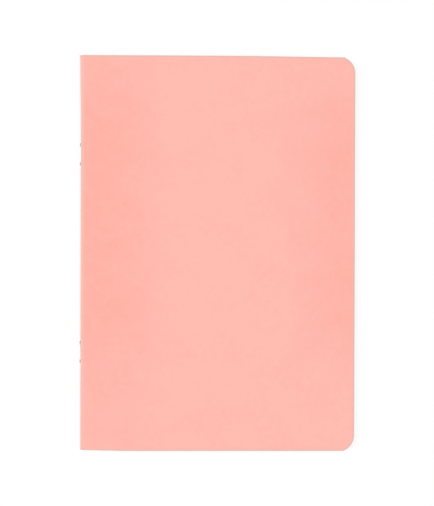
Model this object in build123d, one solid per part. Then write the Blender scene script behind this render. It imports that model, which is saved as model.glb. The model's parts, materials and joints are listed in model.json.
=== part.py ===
from build123d import *
from math import asin, cos, degrees, radians, sin
import os

# A stapled exercise book, closed and lying on its back cover.
# X runs from the spine to the fore-edge, Y from tail to head, Z through the thickness.
# All sizes in millimetres.

# Driving dimensions
book_height = 210.0
book_width = 146.0
corner_radius = 9.0
corner_overrun = 0.5
sheet_count = 16
paper_thickness = 0.10
card_thickness = 0.30
wire_diameter = 0.50
wire_flats = 16
staple_crown = 12.0
staple_spacing = 105.0
clinch_length = 4.25
bend_radius = 0.35
crown_bite = 0.15
flange_length = 1.0

# Clearances
sheet_gap = 0.01
clinch_clearance = 0.05
wire_clearance = 0.03
closing_gap = 0.02

# Derived sizes
wire_radius = wire_diameter / 2
sheet_pitch = paper_thickness + sheet_gap
inner_radius = wire_radius + clinch_clearance
cover_radius = inner_radius + sheet_count * sheet_pitch
spine_radius = cover_radius + card_thickness
crown_proud = wire_diameter - crown_bite
leaf_end = book_width - spine_radius
closing_angle = degrees(asin((2 * inner_radius - closing_gap) / leaf_end))
leg_offset = staple_crown / 2 - wire_radius
tip_offset = leg_offset - clinch_length
crown_x = wire_radius - spine_radius - crown_proud
slit_width = wire_diameter + 2 * wire_clearance
staple_places = {"upper": staple_spacing / 2, "lower": -staple_spacing / 2}

# The line that every fold is bent around and every leaf turns about
axis_x = (spine_radius + crown_proud - leaf_end) / 2
hinge = Location((axis_x, 0, spine_radius))


def front_point(along, height):
    """A point of the front half, which leans by the closing angle."""
    lean = radians(closing_angle)
    x = along * cos(lean) + height * sin(lean)
    z = height * cos(lean) - along * sin(lean)
    return (x, z)


def fold_strip(inner, thickness):
    """The bent middle of a folded sheet, a half ring with two short flanges."""
    outer = inner + thickness
    with BuildPart() as strip:
        with BuildSketch(Plane.XZ):
            with BuildLine():
                Line((flange_length, -outer), (0, -outer))
                ThreePointArc((0, -outer), (-outer, 0), front_point(0, outer))
                Line(front_point(0, outer), front_point(flange_length, outer))
                Line(front_point(flange_length, outer), front_point(flange_length, inner))
                Line(front_point(flange_length, inner), front_point(0, inner))
                ThreePointArc(front_point(0, inner), (-inner, 0), (0, -inner))
                Line((0, -inner), (flange_length, -inner))
                Line((flange_length, -inner), (flange_length, -outer))
            make_face()
        extrude(amount=book_height / 2, both=True)
    return strip.part


def leaf(height, thickness):
    """A flat panel from the flange to the fore-edge. Its outer corners are rounded on a blank that
    runs over at head and tail, so that the trimmed ends meet the arcs at a slight angle."""
    middle = ((flange_length + leaf_end) / 2, 0)
    width = leaf_end - flange_length
    with BuildPart() as panel:
        with BuildSketch(Plane.XY.offset(height)) as outline:
            with Locations(middle):
                Rectangle(width, book_height + 2 * corner_overrun)
            fillet(outline.vertices().group_by(Axis.X)[-1], corner_radius)
            with Locations(middle):
                Rectangle(width, book_height, mode=Mode.INTERSECT)
        extrude(amount=thickness)
    return panel.part


def staple_wire():
    """A wire bent to a crown outside the spine, two legs and two clinched tips."""
    points = [
        (0, tip_offset),
        (0, leg_offset),
        (crown_x, leg_offset),
        (crown_x, -leg_offset),
        (0, -leg_offset),
        (0, -tip_offset),
    ]
    with BuildPart() as wire:
        with BuildLine() as path:
            FilletPolyline(*points, radius=bend_radius)
        for run in path.edges():
            with BuildSketch(Plane(origin=run @ 0, z_dir=run % 0)):
                RegularPolygon(wire_radius, wire_flats)
            if run.geom_type == GeomType.LINE:
                extrude(amount=run.length)
            else:
                revolve(axis=Axis(run.arc_center, (0, 0, 1)), revolution_arc=90)
    return wire.part


def leg_slits():
    """Slits where the legs of both staples pierce a fold, from its outside to the hinge line."""
    slit = Box(spine_radius, slit_width, slit_width, align=(Align.MAX, Align.CENTER, Align.CENTER))
    return [
        Pos(0, middle + side * leg_offset, 0) * slit
        for middle in staple_places.values()
        for side in (-1, 1)
    ]


def crown_beds():
    """Grooves that the staple crowns press into the outside of the cover's fold."""
    bed_length = staple_crown + 2 * wire_clearance
    bed = Box(wire_diameter, bed_length, slit_width, align=(Align.MAX, Align.CENTER, Align.CENTER))
    bottom = crown_x + wire_radius + wire_clearance
    return [Pos(bottom, middle, 0) * bed for middle in staple_places.values()]


def write(node, shape):
    """Place a shape about the hinge line and save it under its node's name."""
    placed = hinge * shape
    placed.label = node
    export_step(placed, f"parts/{node}.step")


os.makedirs("parts", exist_ok=True)
lean_down = Rot(0, closing_angle, 0)
slits = leg_slits()

# Folded sheets, the innermost first
for number in range(1, sheet_count + 1):
    inner = inner_radius + (number - 1) * sheet_pitch
    outer = inner + paper_thickness
    write(f"sheet_{number:02d}_back", leaf(-outer, paper_thickness))
    write(f"sheet_{number:02d}_fold", fold_strip(inner, paper_thickness) - slits)
    write(f"sheet_{number:02d}_front", lean_down * leaf(inner, paper_thickness))

# Card cover, wrapped round the sheets, its fold pressed in under the staple crowns
write("cover_back", leaf(-spine_radius, card_thickness))
write("cover_spine", fold_strip(cover_radius, card_thickness) - slits - crown_beds())
write("cover_front", lean_down * leaf(cover_radius, card_thickness))

# Wire staples through all the folds
for place, middle in staple_places.items():
    write(f"staple_{place}", Pos(0, middle, 0) * staple_wire())
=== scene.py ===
import json
import random
from math import asin, atan, cos, exp, pi, radians, sin

import bmesh
import bpy
from mathutils import Color, Matrix, Vector


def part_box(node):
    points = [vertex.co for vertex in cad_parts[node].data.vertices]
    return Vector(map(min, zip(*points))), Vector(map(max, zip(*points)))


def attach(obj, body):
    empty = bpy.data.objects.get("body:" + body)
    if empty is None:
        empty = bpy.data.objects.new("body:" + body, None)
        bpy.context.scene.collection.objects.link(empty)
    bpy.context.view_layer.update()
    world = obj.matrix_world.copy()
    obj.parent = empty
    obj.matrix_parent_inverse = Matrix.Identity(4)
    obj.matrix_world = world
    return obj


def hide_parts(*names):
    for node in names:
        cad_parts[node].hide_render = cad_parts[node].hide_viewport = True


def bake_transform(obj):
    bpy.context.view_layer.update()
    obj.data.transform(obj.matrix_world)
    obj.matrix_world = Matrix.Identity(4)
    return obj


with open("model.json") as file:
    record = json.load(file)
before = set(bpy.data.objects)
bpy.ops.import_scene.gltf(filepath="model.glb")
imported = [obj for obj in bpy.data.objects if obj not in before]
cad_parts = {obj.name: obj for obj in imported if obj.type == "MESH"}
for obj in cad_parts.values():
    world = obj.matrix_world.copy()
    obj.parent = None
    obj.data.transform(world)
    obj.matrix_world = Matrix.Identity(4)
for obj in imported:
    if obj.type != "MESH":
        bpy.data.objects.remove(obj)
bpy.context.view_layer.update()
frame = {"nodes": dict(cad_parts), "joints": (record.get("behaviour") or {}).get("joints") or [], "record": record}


# Writing sheets: sixteen pieces of smooth writing paper, printed with feint rules on both sides,
# gathered one inside the other, folded once and trimmed together with rounded fore-edge corners.
# The staples hold each sheet at its fold, and its back leaf is attached to a body of its own.
sheet_numbers = sorted(node.split("_")[1] for node in frame["nodes"] if node.endswith("_fold"))
share_of_opening = {c["joint"]: c["ratio"] for c in frame["record"]["behaviour"]["couplings"]}
hinge = Vector(frame["joints"][0]["pos_m"])
low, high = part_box("sheet_01_back")
paper_thickness = high.z - low.z
leaf_reach = high.x - hinge.x
book_height = high.y - low.y
low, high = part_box("sheet_01_front")
lean = atan((high.z - low.z - paper_thickness) / (high.x - low.x))
corner_radius = 0.009
corner_overrun = 0.0005
corner_steps = 14
sheet_fold_steps = 14
fold_draw = 0.0005
across_share = 0.87
head_fall = 0.0006
head_fall_span = (0.55, 1.1)
tail_rise = 0.0005
tail_rise_span = (0.2, 0.0)
trim_steps = 12
trim_error = 0.00012
beyond_sheet = 1.0
same_point = 1e-7
rule_pitch = 0.0075
rule_width = 0.00022
head_margin = 0.019
foot_margin = 0.013
side_margin = 0.009
crease_shade_reach = (0.0017, 0.0004)
trimming = random.Random(11)


class Value:
    """A socket in a material's nodes. Sums of values add the Math nodes that work them out."""

    def __init__(self, tree, socket=None):
        self.tree = tree
        self.socket = socket

    def node(self, kind, settings, sockets, output=0):
        """Add a node of that type, with its settings first and then its sockets' values or links."""
        made = self.tree.nodes.new("ShaderNode" + kind)
        for name, setting in settings.items():
            setattr(made, name, setting)
        for name, value in sockets.items():
            if isinstance(value, Value):
                self.tree.links.new(value.socket, made.inputs[name])
            else:
                made.inputs[name].default_value = value
        return Value(self.tree, made.outputs[output] if made.outputs else None)

    def math(self, operation, first, second=0.0):
        return self.node("Math", {"operation": operation}, {0: first, 1: second})

    def __add__(self, other):
        return self.math("ADD", self, other)

    def __radd__(self, other):
        return self.math("ADD", other, self)

    def __sub__(self, other):
        return self.math("SUBTRACT", self, other)

    def __rsub__(self, other):
        return self.math("SUBTRACT", other, self)

    def __mul__(self, other):
        return self.math("MULTIPLY", self, other)

    def __rmul__(self, other):
        return self.math("MULTIPLY", other, self)

    def __abs__(self):
        return self.math("ABSOLUTE", self)

    def fade(self, start, end):
        """0 at start and 1 at end, eased in between."""
        sockets = {"Value": self, "From Min": start, "From Max": end}
        return self.node("MapRange", {"interpolation_type": "SMOOTHSTEP"}, sockets)

    def tint(self, under, over):
        """The colour under, covered by the colour over as far as this value goes to 1."""
        return self.node("Mix", {"data_type": "RGBA"}, {0: self, 6: under, 7: over}, 2)


def swatch(code):
    """The colour that six hexadecimal digits give on a screen, as light."""
    channels = [int(code[place:place + 2], 16) / 255 for place in (0, 2, 4)]
    return (*Color(channels).from_srgb_to_scene_linear(), 1.0)


def new_material(name):
    material = bpy.data.materials.new(name)
    material.use_nodes = True
    material.node_tree.nodes.clear()
    return material, Value(material.node_tree)


def flat_place(paint):
    """The place on the flat sheet, whole and as distances across from the fold and up from the middle."""
    place = paint.node("UVMap", {"uv_map": "flat"}, {})
    across = paint.node("SeparateXYZ", {}, {"Vector": place}, "X")
    up = paint.node("SeparateXYZ", {}, {"Vector": place}, "Y")
    return place, across, up


def grain(place, size, detail=3.0, roughness=0.55):
    """Soft uneven patches about that size across."""
    sockets = {"Vector": place, "Scale": 1 / size, "Detail": detail, "Roughness": roughness}
    return place.node("TexNoise", {"noise_dimensions": "2D"}, sockets)


def surface(paint, sockets):
    shader = paint.node("BsdfPrincipled", {}, sockets)
    paint.node("OutputMaterial", {}, {"Surface": shader})


def relief(height, depth):
    return height.node("Bump", {}, {"Strength": 1.0, "Distance": depth, "Height": height}, "Normal")


def ruled_paper():
    material, paint = new_material("ruled_paper")
    place, across, up = flat_place(paint)
    tone = paint.node("Attribute", {"attribute_name": "tone"}, {}, "Fac")
    cloud = grain(place, 0.012)
    tooth = grain(place, 0.0004, detail=4.0)
    stock = (0.5 * cloud + 0.5 * tone).tint(swatch("f3f0e6"), swatch("fcfaf4"))
    stock = (0.15 * tooth).tint(stock, swatch("dfd9cb"))
    nearest_rule = up.math("PINGPONG", up, rule_pitch / 2)
    printed = nearest_rule.fade(0.7 * rule_width, 0.4 * rule_width)
    printed = printed * up.fade(book_height / 2 - head_margin + rule_width, book_height / 2 - head_margin)
    printed = printed * up.fade(foot_margin - book_height / 2 - rule_width, foot_margin - book_height / 2)
    printed = printed * abs(across).fade(side_margin - rule_width, side_margin)
    fore_margin = leaf_reach - side_margin
    printed = printed * abs(across).fade(fore_margin, fore_margin - rule_width)
    colour = (0.8 * printed).tint(stock, swatch("a9b7c6"))
    # Painted shade along the crease at the fold, with a little grime: darker within about 1.7 mm of the fold
    crease_shade_and_grime = abs(across).fade(*crease_shade_reach) * (0.55 + 0.3 * tooth)
    colour = crease_shade_and_grime.tint(colour, swatch("c9c2b4"))
    surface(paint, {
        "Base Color": colour,
        "Roughness": 0.82 + 0.1 * tooth,
        "Specular IOR Level": 0.25,
        "Normal": relief(tooth, 0.000012),
    })
    return material


def cut_paper():
    material, paint = new_material("cut_paper")
    place, across, up = flat_place(paint)
    tone = paint.node("Attribute", {"attribute_name": "tone"}, {}, "Fac")
    fibre = grain(place, 0.0012, detail=4.0)
    surface(paint, {
        "Base Color": (0.65 * tone + 0.35 * fibre).tint(swatch("e2ddd2"), swatch("fbf9f4")),
        "Roughness": 0.88 + 0.08 * fibre,
        "Specular IOR Level": 0.2,
    })
    return material


def score(sheet, faces, point, normal, **clear):
    """Cut those faces along a line, and clear one side of it where that is asked."""
    edges = dict.fromkeys(edge for face in faces for edge in face.edges)
    corners = dict.fromkeys(vert for face in faces for vert in face.verts)
    bmesh.ops.bisect_plane(
        sheet,
        geom=[*faces, *edges, *corners],
        dist=same_point,
        plane_co=point,
        plane_no=normal,
        **clear,
    )


def flat_sheet(half_width):
    """A sheet lying flat with its fold on x = 0, its corners rounded, its head and tail trimmed after."""
    sheet = bmesh.new()
    bmesh.ops.create_grid(sheet, x_segments=1, y_segments=1, size=1)
    bmesh.ops.scale(sheet, vec=(half_width, book_height / 2 + corner_overrun, 1), verts=sheet.verts)
    bmesh.ops.bevel(
        sheet,
        geom=sheet.verts[:],
        offset=corner_radius,
        affect="VERTICES",
        segments=corner_steps,
        profile=0.5,
        material=-1,
    )
    for end in (-1, 1):
        score(sheet, sheet.faces[:], (0, end * book_height / 2, 0), (0, end, 0), clear_outer=True)
    for step in range(1 - trim_steps, trim_steps):
        score(sheet, sheet.faces[:], (half_width * step / trim_steps, 0, 0), (1, 0, 0))
    return sheet


def ease(value, start, end):
    """0 before start and 1 after end, eased in between."""
    share = min(max((value - start) / (end - start), 0), 1)
    return share * share * (3 - 2 * share)


def trim_by_eye(sheet):
    """Let the head fall towards the fore-edge and the tail rise at the fold, as the knife left them."""
    for vert in sheet.verts:
        out = abs(vert.co.x) / leaf_reach
        if vert.co.y > 0:
            vert.co.y -= head_fall * ease(out, *head_fall_span)
        else:
            vert.co.y += tail_rise * ease(out, *tail_rise_span)


def score_fold(sheet, foot, steps):
    """Score the strip that will bend, from one foot of the fold to the other."""
    for step in range(steps + 1):
        line = foot * (2 * step / steps - 1)
        score(sheet, sheet.faces[:], (line, 0, 0), (1, 0, 0))


def keep_between(sheet, left, right):
    """Cut a sheet along two lines beside its fold and keep the strip between them."""
    score(sheet, sheet.faces[:], (left, 0, 0), (1, 0, 0), clear_inner=True)
    score(sheet, sheet.faces[:], (right, 0, 0), (1, 0, 0), clear_outer=True)


def map_flat(sheet):
    """Keep each point's place on the flat sheet, in metres, as the map that its print follows."""
    flat = sheet.loops.layers.uv.new("flat")
    for face in sheet.faces:
        for loop in face.loops:
            loop[flat].uv = loop.vert.co.xy


def fold_foot(radius):
    """How far from its crest a fold of that radius ends, measured along the sheet."""
    return radius * (pi + lean) / 2


def fold(sheet, radius):
    """Bend a flat sheet round the hinge line: back half below, front half above and leaning shut.
    The bend draws in at head and tail, so that in an open book it stays behind the leaves' ends."""
    foot = fold_foot(radius)
    for vert in sheet.verts:
        along = vert.co.x + foot
        turn = min(max(along / radius, 0), pi + lean)
        past = along - turn * radius
        x = -radius * sin(turn) - past * cos(turn)
        y = vert.co.y * (1 - fold_draw * max(sin(turn), 0))
        z = -radius * cos(turn) + past * sin(turn)
        vert.co = hinge + Vector((x, y, z))


def new_piece(name, shape, *materials):
    mesh = bpy.data.meshes.new(name)
    shape.to_mesh(mesh)
    shape.free()
    for material in materials:
        mesh.materials.append(material)
    piece = bpy.data.objects.new(name, mesh)
    bpy.context.scene.collection.objects.link(piece)
    return piece


def thicken(piece, thickness):
    """Give a sheet its thickness, half to each side of its middle."""
    solid = piece.modifiers.new("thickness", "SOLIDIFY")
    solid.thickness = thickness
    solid.offset = 0
    return solid


def turn_half(piece, radius, side, reach):
    """Bake the piece's placement into its points. How far the back half (-1) or the front half (1) of a fold
    would turn, half as far at the crest and less or more by reach at the foot, is worked out but not used."""
    slope = Vector((side * across_share, 0, 1 - across_share)) * reach / radius
    whole = slope / slope.length_squared
    start = hinge - (0.5 + side * reach * across_share) * whole
    start + whole
    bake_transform(piece)


page, leaf_edge = ruled_paper(), cut_paper()
for number in sheet_numbers:
    inner = hinge.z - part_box(f"sheet_{number}_back")[1].z
    radius = inner + paper_thickness / 2
    foot = fold_foot(radius)
    tone = trimming.random()
    parts = {}
    spans = (("back", -beyond_sheet, -foot), ("fold", -foot, 0), ("front", 0, beyond_sheet))
    for part, left, right in spans:
        sheet = flat_sheet(foot + leaf_reach - trimming.uniform(0, trim_error))
        score_fold(sheet, foot, sheet_fold_steps)
        keep_between(sheet, left, right)
        map_flat(sheet)
        trim_by_eye(sheet)
        shade = sheet.faces.layers.float.new("tone")
        for face in sheet.faces:
            face[shade] = tone
        fold(sheet, radius)
        parts[part] = new_piece(f"paper_{number}_{part}", sheet, page, leaf_edge)
        thicken(parts[part], paper_thickness).material_offset_rim = 1
        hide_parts(f"sheet_{number}_{part}")

    # Where an eased turn comes to the back leaf's share of the opening is worked out for the foot of the
    #     fold; turn_half is given it but sets no turn from it.
    back_share = share_of_opening[f"back_leaf_{number}_turn"]
    turned = back_share / share_of_opening[f"front_leaf_{number}_turn"]
    eased = 0.5 - sin(asin(1 - 2 * turned) / 3)
    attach(parts["back"], f"back_leaf_{number}")
    turn_half(parts["fold"], radius, -1, 0.5 - eased)
    turn_half(parts["front"], radius, 1, 0.5)


# Cover: one piece of white board, printed salmon on its outside and left plain inside, cut and
# folded with the sheets. The ink has cracked pale along the fold, which also bears a painted highlight
# and a line of painted shade; the staple crowns have pressed shallow beds into the spine, and towards
# the head the spine stands a little off the sheets.
low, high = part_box("cover_back")
card_thickness = high.z - low.z
card_radius = hinge.z - high.z + card_thickness / 2
card_foot = fold_foot(card_radius)
card_fold_steps = 30
card_edge_rounding = 0.00006
crest_strip = 0.00002
row_pitch = 0.005
rows_each_way = 20
bed_row_pitch = 0.0006
bed_reach = 0.008
bed_depths = (0.00026, 0.00015)
bed_width = 0.0011
bed_run_out = 0.0012
head_flare = 0.00043
flare_start = 0.066
spine_shade_reach = (0.060, 0.010)
fore_edge_shade_reach = (0.050, 0.004)
shade_centre_height = 0.016
shade_height_span = (0.096, 0.045)
leg_hole_shade_and_crush = (0.0018, 0.0006)
crest_highlight_and_crack_reach = (0.0030, 0.0010)
foot_line_shade_start = (0.0013, 0.0020)
foot_line_shade_end = (0.0038, 0.0025)
edge_shade_and_rub_reach = (0.0011, 0.0004)
staple_nodes = ("staple_upper", "staple_lower")
staple_middles = [sum(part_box(node), Vector()).y / 2 for node in staple_nodes]
low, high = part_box("staple_upper")
wire_radius = (high.z - low.z) / 2
crown_half = (high.y - low.y) / 2
leg_offset = crown_half - wire_radius


def printed_card():
    material, paint = new_material("printed_card")
    place, across, up = flat_place(paint)
    cloud = grain(place, 0.02, detail=2.0).fade(0.25, 0.75)
    mottle = grain(place, 0.0035, detail=1.5).fade(0.3, 0.7)
    tooth = grain(place, 0.0003, detail=4.0)
    fleck = grain(place, 0.0012, detail=1.0).fade(0.72, 0.8)
    blotch = grain(place, 0.006, detail=2.0).fade(0.4, 0.75)

    # Painted shade: a deeper tone along the spine and the fore-edge at mid-height
    half_width = card_foot + leaf_reach
    from_fold = abs(across)
    beside_fold = from_fold.fade(*spine_shade_reach)
    beside_fore_edge = (half_width - from_fold).fade(*fore_edge_shade_reach)
    mid_height = abs(up - shade_centre_height).fade(*shade_height_span)
    spine_and_fore_edge_shade = (0.4 + 0.6 * mid_height) * beside_fold + 0.75 * mid_height * beside_fore_edge
    tone = 0.92 - 0.88 * spine_and_fore_edge_shade + 0.26 * (cloud - 0.5) + 0.24 * (mottle - 0.5)
    colour = tone.tint(swatch("feaea2"), swatch("febaaf"))
    colour = (0.45 * blotch).tint(colour, swatch("f8b7aa"))
    colour = (0.06 * tooth + 0.2 * fleck).tint(colour, swatch("e0958a"))

    # Painted shade at the staple leg holes, with crushed board: darker within about 1.8 mm of each leg
    for middle in staple_middles:
        for side in (-1, 1):
            aside = up - (middle + side * leg_offset)
            far = across.math("SQRT", across * across + aside * aside)
            colour = (0.8 * far.fade(*leg_hole_shade_and_crush)).tint(colour, swatch("9a6a63"))

    # Painted highlight along the fold, broken up by ink cracked pale there, with a faint line of painted shade at
    # its foot
    crack = grain(place, 0.0009, detail=4.0, roughness=0.7).fade(0.25, 0.75)
    crest = from_fold.fade(*crest_highlight_and_crack_reach)
    colour = (crest * (0.55 + 0.35 * crack)).tint(colour, swatch("f7d5cc"))
    foot_line_shade = from_fold.fade(*foot_line_shade_start) * from_fold.fade(*foot_line_shade_end)
    colour = (0.6 * foot_line_shade).tint(colour, swatch("efbcb2"))

    # Painted shade along the cut edge, with some rubbing: greyer within about 1.1 mm of the edge, followed round
    # the corners
    past_x = across.math("MAXIMUM", from_fold - (half_width - corner_radius), 0.0)
    past_y = up.math("MAXIMUM", abs(up) - (book_height / 2 + corner_overrun - corner_radius), 0.0)
    past = up.math("SQRT", past_x * past_x + past_y * past_y)
    from_edge = up.math("MINIMUM", corner_radius - past, book_height / 2 - abs(up))
    edge_shade_and_rub = from_edge.fade(*edge_shade_and_rub_reach)
    colour = (0.9 * edge_shade_and_rub).tint(colour, swatch("e6b8af"))

    surface(paint, {
        "Base Color": colour,
        "Roughness": 0.72 + 0.12 * mottle,
        "Specular IOR Level": 0.25,
        "Normal": relief(tooth + 0.6 * mottle, 0.00002),
    })
    return material


def plain_board(name, dark, pale, soaked=0.0):
    """Bare board, soaked that far with ink that has come through at the fold."""
    material, paint = new_material(name)
    place, across, up = flat_place(paint)
    mottle = grain(place, 0.004)
    tooth = grain(place, 0.0004, detail=4.0)
    colour = (0.6 * mottle + 0.4 * tooth).tint(swatch(dark), swatch(pale))
    colour = (soaked * abs(across).fade(card_foot, 0.9 * card_foot)).tint(colour, swatch("f3b3a8"))
    surface(paint, {
        "Base Color": colour,
        "Roughness": 0.85 + 0.1 * tooth,
        "Specular IOR Level": 0.2,
        "Normal": relief(tooth, 0.00002),
    })
    return material


def press(piece, name, depths):
    """Push the points of a piece out at the spine by those depths, or in where they are below 0."""
    deepest = max(depths, key=abs)
    group = piece.vertex_groups.new(name=name)
    for index, depth in enumerate(depths):
        group.add([index], depth / deepest, "REPLACE")
    pushed = piece.modifiers.new(name, "DISPLACE")
    pushed.vertex_group = name
    pushed.direction = "X"
    pushed.mid_level = 0
    pushed.strength = -deepest


bed_rows = int(bed_reach / bed_row_pitch)
rows = [row_pitch * k for k in range(-rows_each_way, rows_each_way + 1)]
rows += [middle + bed_row_pitch * k for middle in staple_middles for k in range(-bed_rows, bed_rows + 1)]
card_materials = (
    printed_card(),
    plain_board("inside_board", "e6e1d6", "f4f0e6", soaked=0.9),
    plain_board("cut_board", "e2b3a8", "f1d3ca"),
)
for half, side, left, right in (("back", -1, -beyond_sheet, 0), ("front", 1, 0, beyond_sheet)):
    card = flat_sheet(card_foot + leaf_reach)
    score_fold(card, card_foot, card_fold_steps)
    score(card, card.faces[:], (side * crest_strip, 0, 0), (1, 0, 0))
    for row in rows:
        strip = [face for face in card.faces if abs(face.calc_center_median().x) < card_foot]
        score(card, strip, (0, row, 0), (0, 1, 0))
    keep_between(card, left, right)
    map_flat(card)
    trim_by_eye(card)

    # The halves meet at the crest without a rounded edge.
    rounded = card.edges.layers.float.new("bevel_weight_edge")
    for edge in card.edges:
        at_crest = max(abs(vert.co.x) for vert in edge.verts) < same_point
        edge[rounded] = float(edge.is_boundary and not at_crest)
        edge.smooth = not at_crest
    fold(card, card_radius)

    flares, beds = [], []
    for vert in card.verts:
        round_fold = max(hinge.x - vert.co.x, 0) / card_radius
        from_crown = (vert.co.z - hinge.z) / bed_width
        bed = 0
        for middle, depth in zip(staple_middles, bed_depths):
            past_end = max(abs(vert.co.y - middle) - leg_offset, 0) / bed_run_out
            bed -= depth * round_fold * exp(-past_end ** 2 - from_crown ** 2)
        beds.append(bed)
        flares.append(head_flare * round_fold * ease(vert.co.y, flare_start, book_height / 2))
    for face in card.faces:
        face.smooth = True
    cover = new_piece(f"cover_{half}_half", card, *card_materials)
    press(cover, "flare", flares)
    press(cover, "bed", beds)
    solid = thicken(cover, card_thickness)
    solid.material_offset = 1
    solid.material_offset_rim = 2
    rounding = cover.modifiers.new("rounding", "BEVEL")
    rounding.width = card_edge_rounding
    rounding.segments = 2
    rounding.limit_method = "WEIGHT"
    rounding.harden_normals = True
    turn_half(cover, card_radius, side, 0.5)
    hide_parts(f"cover_{half}", "cover_spine")


# Staples: two lengths of bright drawn steel wire, driven through the spine from outside, with
# the legs bent over flat along the innermost fold. Their tips were cut to a chisel edge.
bend_radius = 0.00035
clinch_length = 0.00425
tip_length = 0.0004
tip_flat = 0.3
wire_sides = 20
bend_steps = 8
crown_x = low.x + wire_radius - hinge.x


def bright_wire():
    material, paint = new_material("bright_wire")
    place = paint.node("TexCoord", {}, {}, "Object")
    up = paint.node("SeparateXYZ", {}, {"Vector": place}, "Y")
    drawn = paint.node("Mapping", {}, {"Vector": place, "Scale": (9000, 300, 9000)})
    streak = paint.node("TexNoise", {}, {"Vector": drawn, "Scale": 1.0, "Detail": 3.0})
    from_middle = abs(abs(up) - staple_middles[0])
    # Painted shade at the bends, where the wire turns into the card; the bends are also rougher
    bent = from_middle.fade(leg_offset - 7 * bend_radius, leg_offset - 2 * bend_radius)
    bright = streak.tint(swatch("e0e0e2"), swatch("fafafa"))
    colour = (0.55 * bent).tint(bright, swatch("4d4644"))
    surface(paint, {
        "Base Color": colour,
        "Metallic": 1.0,
        "Roughness": 0.24 + 0.16 * streak + 0.15 * bent,
    })
    return material


def draw_on(wire, ring, way):
    """Draw the open end of the wire straight on, and return its new end."""
    drawn = bmesh.ops.extrude_edge_only(wire, edges=ring)["geom"]
    ends = [part for part in drawn if isinstance(part, bmesh.types.BMVert)]
    bmesh.ops.translate(wire, vec=way, verts=ends)
    return [part for part in drawn if isinstance(part, bmesh.types.BMEdge)]


def close_tip(wire, ring, way):
    """Squeeze the end of the wire to a chisel edge and close it."""
    tip = draw_on(wire, ring, way)
    ends = list(dict.fromkeys(vert for edge in tip for vert in edge.verts))
    bmesh.ops.scale(wire, vec=(1, 1, tip_flat), verts=ends)
    bmesh.ops.contextual_create(wire, geom=tip)


steel = bright_wire()
clinch = clinch_length - bend_radius - tip_length
leg = -crown_x - 2 * bend_radius
crown = 2 * (leg_offset - bend_radius)
for node, middle in zip(staple_nodes, staple_middles):
    wire = bmesh.new()
    end = Vector((0, leg_offset - bend_radius - clinch, 0))
    upright = Matrix.Translation(end) @ Matrix.Rotation(pi / 2, 4, "X")
    circle = bmesh.ops.create_circle(wire, segments=wire_sides, radius=wire_radius, matrix=upright)
    first = list(dict.fromkeys(edge for vert in circle["verts"] for edge in vert.link_edges))
    ring = first
    heading = Vector((0, 1, 0))
    for length in (clinch, leg, crown, leg):
        ring = draw_on(wire, ring, length * heading)
        left = Vector((-heading.y, heading.x, 0))
        centre = end + length * heading + bend_radius * left
        bend = bmesh.ops.spin(
            wire,
            geom=ring,
            cent=centre,
            axis=(0, 0, 1),
            angle=pi / 2,
            steps=bend_steps,
            dvec=(0, 0, 0),
        )
        ring = [part for part in bend["geom_last"] if isinstance(part, bmesh.types.BMEdge)]
        end = centre + bend_radius * heading
        heading = left
    ring = draw_on(wire, ring, clinch * heading)
    close_tip(wire, ring, tip_length * heading)
    close_tip(wire, first, -tip_length * heading)
    bmesh.ops.remove_doubles(wire, verts=wire.verts, dist=same_point)
    bmesh.ops.recalc_face_normals(wire, faces=wire.faces)
    bmesh.ops.translate(wire, vec=hinge + Vector((0, middle, 0)), verts=wire.verts)
    for face in wire.faces:
        face.smooth = len(face.verts) == 4
    staple = new_piece(f"wire_{node}", wire, steel)
    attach(staple, "spine")
    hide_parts(node)


# Table, light and camera: a white sweep under soft daylight-white lamps, seen from straight above
# with a long lens, as flat goods are photographed for a catalogue.
floor_half = 4.0
floor_drop = 0.0001
floor_glow = 0.7
shadow_reach = (0.25, 0.7)
room_light = 0.68
table_white = swatch("ffffff")
lens = 85.0
eye = Vector((-0.009005, 0.003975, 0.639069))
eye_turn = (radians(-0.3364), radians(-0.7960), radians(0.1599))


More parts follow.
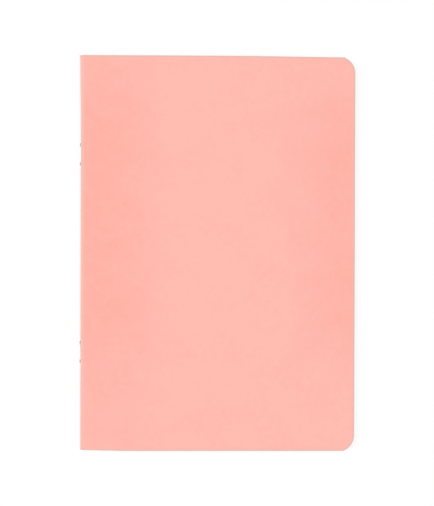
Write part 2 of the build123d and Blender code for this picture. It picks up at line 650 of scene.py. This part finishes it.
def seen_directly(paint):
    """1 for rays that show a thing itself: to the camera, in a mirror or through glass."""
    rays = ("Is Camera Ray", "Is Glossy Ray", "Is Transmission Ray")
    camera, glossy, through = [paint.node("LightPath", {}, {}, ray) for ray in rays]
    return paint.math("MINIMUM", camera + glossy + through, 1.0)


sweep = bmesh.new()
bmesh.ops.create_grid(sweep, x_segments=1, y_segments=1, size=floor_half)
bmesh.ops.translate(sweep, vec=(0, 0, -floor_drop), verts=sweep.verts)
white_sweep, paint = new_material("white_sweep")
place = paint.node("TexCoord", {}, {}, "Object")
far = paint.node("VectorMath", {"operation": "LENGTH"}, {0: place}, "Value")
matt = paint.node("BsdfDiffuse", {}, {"Color": table_white})
glow = paint.node("Emission", {}, {"Color": table_white, "Strength": 1.0})
whitened = (floor_glow + (1 - floor_glow) * far.fade(*shadow_reach)) * seen_directly(paint)
mixed = paint.node("MixShader", {}, {0: whitened, 1: matt, 2: glow})
paint.node("OutputMaterial", {}, {"Surface": mixed})
new_piece("floor", sweep, white_sweep)

room = bpy.data.worlds.new("room")
room.use_nodes = True
room.node_tree.nodes.clear()
paint = Value(room.node_tree)
lit = paint.node("Background", {}, {"Color": table_white, "Strength": room_light})
seen = paint.node("Background", {}, {"Color": table_white, "Strength": 1.0})
mixed = paint.node("MixShader", {}, {0: seen_directly(paint), 1: lit, 2: seen})
paint.node("OutputWorld", {}, {"Surface": mixed})
bpy.context.scene.world = room

for name, place, size, power in (
    ("left_softbox", Vector((-0.55, 0.12, 0.95)), 0.7, 3.8),
    ("right_softbox", Vector((0.60, -0.25, 0.95)), 0.7, 2.0),
):
    lamp = bpy.data.lights.new(name, "AREA")
    lamp.size = size
    lamp.energy = power
    softbox = bpy.data.objects.new(name, lamp)
    softbox.location = place
    softbox.rotation_euler = (-place).to_track_quat("-Z", "Y").to_euler()
    bpy.context.scene.collection.objects.link(softbox)

camera = bpy.data.cameras.new("camera")
camera.lens = lens
overhead = bpy.data.objects.new("camera", camera)
overhead.location = eye
overhead.rotation_euler = eye_turn
bpy.context.scene.collection.objects.link(overhead)
bpy.context.scene.camera = overhead
bpy.context.scene.view_settings.view_transform = "Standard"
